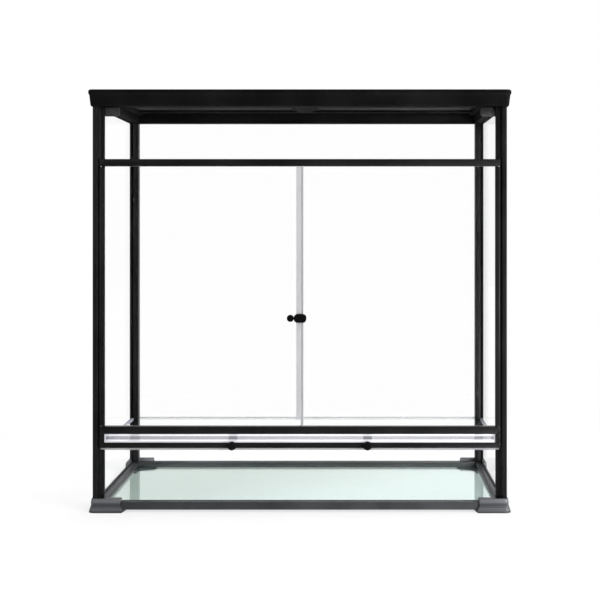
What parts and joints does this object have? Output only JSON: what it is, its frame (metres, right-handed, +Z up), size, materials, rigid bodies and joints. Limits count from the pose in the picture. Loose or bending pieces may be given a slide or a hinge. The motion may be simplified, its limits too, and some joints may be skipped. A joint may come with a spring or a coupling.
{
  "type": "glass terrarium",
  "caption": "Front-opening glass terrarium in a black profile frame, with two hinged doors, a front vent strip with turn knobs and hinged mesh lids.",
  "frame": {"origin": "on the floor, under the middle of the cabinet's outer box", "axes": "+X to the right of someone who faces the doors, +Y to the back, +Z up; the doors are on the -Y side"},
  "size_m": [0.9196, 0.4696, 0.921],
  "materials": {
    "black_profile": "satin black extruded profile",
    "clear_plastic": "clear plastic",
    "glass": "clear float glass",
    "hinge_steel": "plain steel rod",
    "rail_grey": "satin dark grey profile",
    "foot_grey": "satin grey moulding",
    "net_black": "black coated wire mesh"
  },
  "bodies": {
    "cabinet": {"post_front_left": "black_profile", "post_front_right": "black_profile", "post_rear_left": "black_profile", "post_rear_right": "black_profile", "crossbar": "black_profile", "vent_upper_bar": "black_profile", "vent_lower_bar": "black_profile", "vent_strip": "clear_plastic", "vent_end_left": "black_profile", "vent_end_right": "black_profile", "upper_front_glass": "glass", "lower_front_glass": "glass", "upper_back_glass": "glass", "lower_back_glass": "glass", "upper_side_glass_left": "glass", "upper_side_glass_right": "glass", "lower_side_glass_left": "glass", "lower_side_glass_right": "glass", "floor_glass": "glass", "joint_strip_back": "clear_plastic", "joint_strip_left": "clear_plastic", "joint_strip_right": "clear_plastic", "bottom_rail_front": "rail_grey", "bottom_rail_back": "rail_grey", "bottom_rail_left": "rail_grey", "bottom_rail_right": "rail_grey", "corner_foot_front_left": "foot_grey", "corner_foot_front_right": "foot_grey", "corner_foot_rear_left": "foot_grey", "corner_foot_rear_right": "foot_grey", "corner_gusset_left": "foot_grey", "corner_gusset_right": "foot_grey", "top_frame": "black_profile", "lid_hinge_rod_left": "hinge_steel", "lid_hinge_rod_right": "hinge_steel"},
    "door_left": {"door_glass_left": "glass", "hinge_stile_left": "black_profile", "hinge_rod_left": "hinge_steel", "door_seal_left": "clear_plastic", "door_pull_left": "black_profile"},
    "lock_button": {"lock_turn": "black_profile"},
    "door_right": {"door_glass_right": "glass", "hinge_stile_right": "black_profile", "hinge_rod_right": "hinge_steel", "door_seal_right": "clear_plastic", "door_pull_right": "black_profile"},
    "lid_left": {"lid_frame_left": "black_profile", "lid_mesh_left": "net_black", "lid_pull_left": "black_profile"},
    "lid_right": {"lid_frame_right": "black_profile", "lid_mesh_right": "net_black", "lid_pull_right": "black_profile"},
    "vent_turn_left": {"vent_knob_left": "black_profile", "vent_tab_left": "black_profile"},
    "vent_turn_right": {"vent_knob_right": "black_profile", "vent_tab_right": "black_profile"},
    "cable_cover_left": {"cable_slide_left": "black_profile"},
    "cable_cover_right": {"cable_slide_right": "black_profile"}
  },
  "joints": [
    {"name": "door_left_hinge", "type": "hinge", "parent": "cabinet", "child": "door_left", "pos_m": [-0.4322, -0.2201, 0.4686], "axis": [0, 0, -1], "range_deg": [0, 105]},
    {"name": "door_right_hinge", "type": "hinge", "parent": "cabinet", "child": "door_right", "pos_m": [0.4322, -0.2201, 0.4686], "axis": [0, 0, 1], "range_deg": [0, 105]},
    {"name": "lock_button_turn", "type": "hinge", "parent": "door_left", "child": "lock_button", "pos_m": [-0.0204, -0.2229, 0.421], "axis": [0, 1, 0], "range_deg": [0, 90]},
    {"name": "lid_left_hinge", "type": "hinge", "parent": "cabinet", "child": "lid_left", "pos_m": [-0.21775, 0.12, 0.9135], "axis": [-1, 0, 0], "range_deg": [0, 95]},
    {"name": "lid_right_hinge", "type": "hinge", "parent": "cabinet", "child": "lid_right", "pos_m": [0.21775, 0.12, 0.9135], "axis": [-1, 0, 0], "range_deg": [0, 95]},
    {"name": "vent_knob_left_turn", "type": "hinge", "parent": "cabinet", "child": "vent_turn_left", "pos_m": [-0.147, -0.225, 0.1446], "axis": [0, -1, 0], "range_deg": [0, 90]},
    {"name": "vent_knob_right_turn", "type": "hinge", "parent": "cabinet", "child": "vent_turn_right", "pos_m": [0.147, -0.225, 0.1446], "axis": [0, 1, 0], "range_deg": [0, 90]},
    {"name": "cable_cover_left_slide", "type": "slide", "parent": "cabinet", "child": "cable_cover_left", "axis": [1, 0, 0], "range_m": [0, 0.064]},
    {"name": "cable_cover_right_slide", "type": "slide", "parent": "cabinet", "child": "cable_cover_right", "axis": [-1, 0, 0], "range_m": [0, 0.064]}
  ]
}
